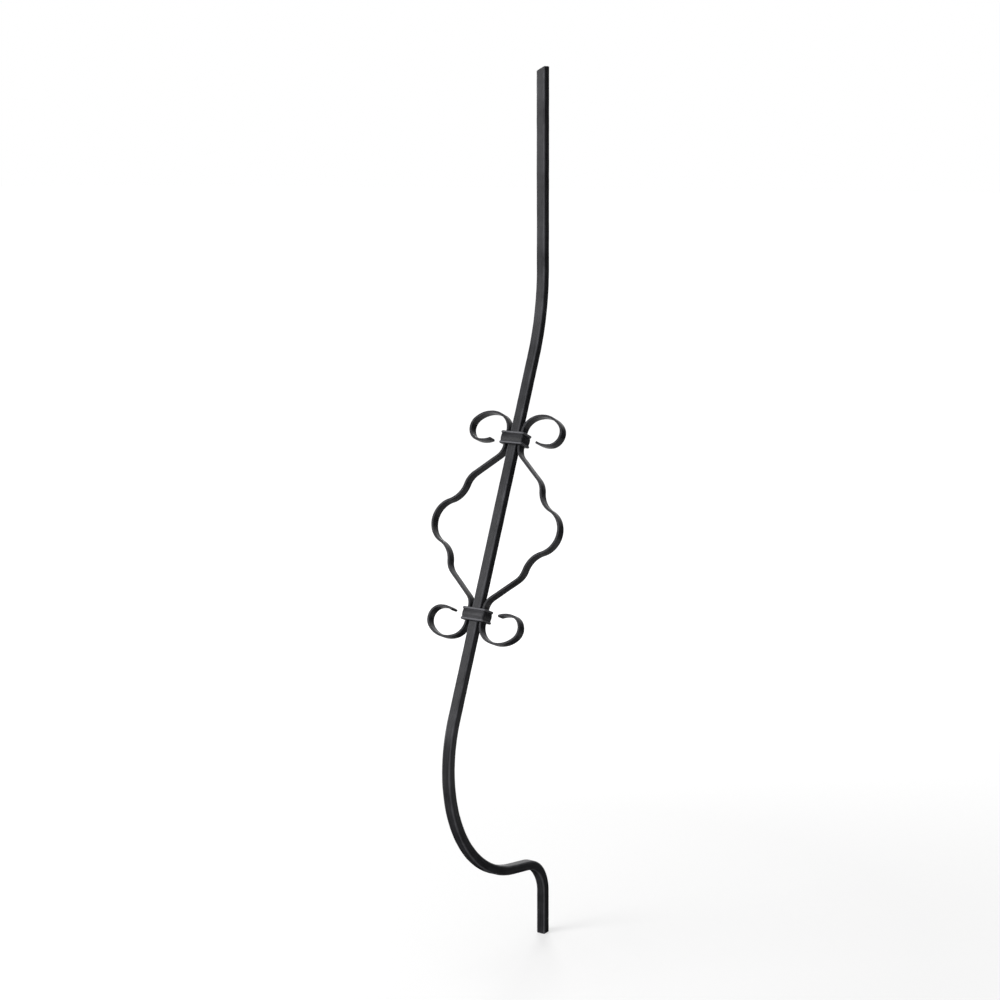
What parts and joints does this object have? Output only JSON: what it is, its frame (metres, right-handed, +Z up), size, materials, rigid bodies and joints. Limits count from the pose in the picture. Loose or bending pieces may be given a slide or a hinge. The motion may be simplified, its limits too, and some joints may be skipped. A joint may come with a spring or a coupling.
{
  "type": "curved iron baluster",
  "caption": "Bellied square-bar iron baluster with waved side strips ending in scrolls and held by ribbed collars, fixed at its foot and raked top in a stair or balcony railing.",
  "frame": {"origin": "centre of the foot's lower end", "axes": "+Z up, +X along the railing, -Y towards the side where the belly stands out"},
  "size_m": [0.183, 0.2239, 1.1029],
  "materials": {
    "black_iron": "satin black on forged iron"
  },
  "bodies": {
    "root": {"main_bar": "black_iron", "left_scroll": "black_iron", "right_scroll": "black_iron", "upper_collar": "black_iron", "lower_collar": "black_iron"}
  },
  "joints": []
}
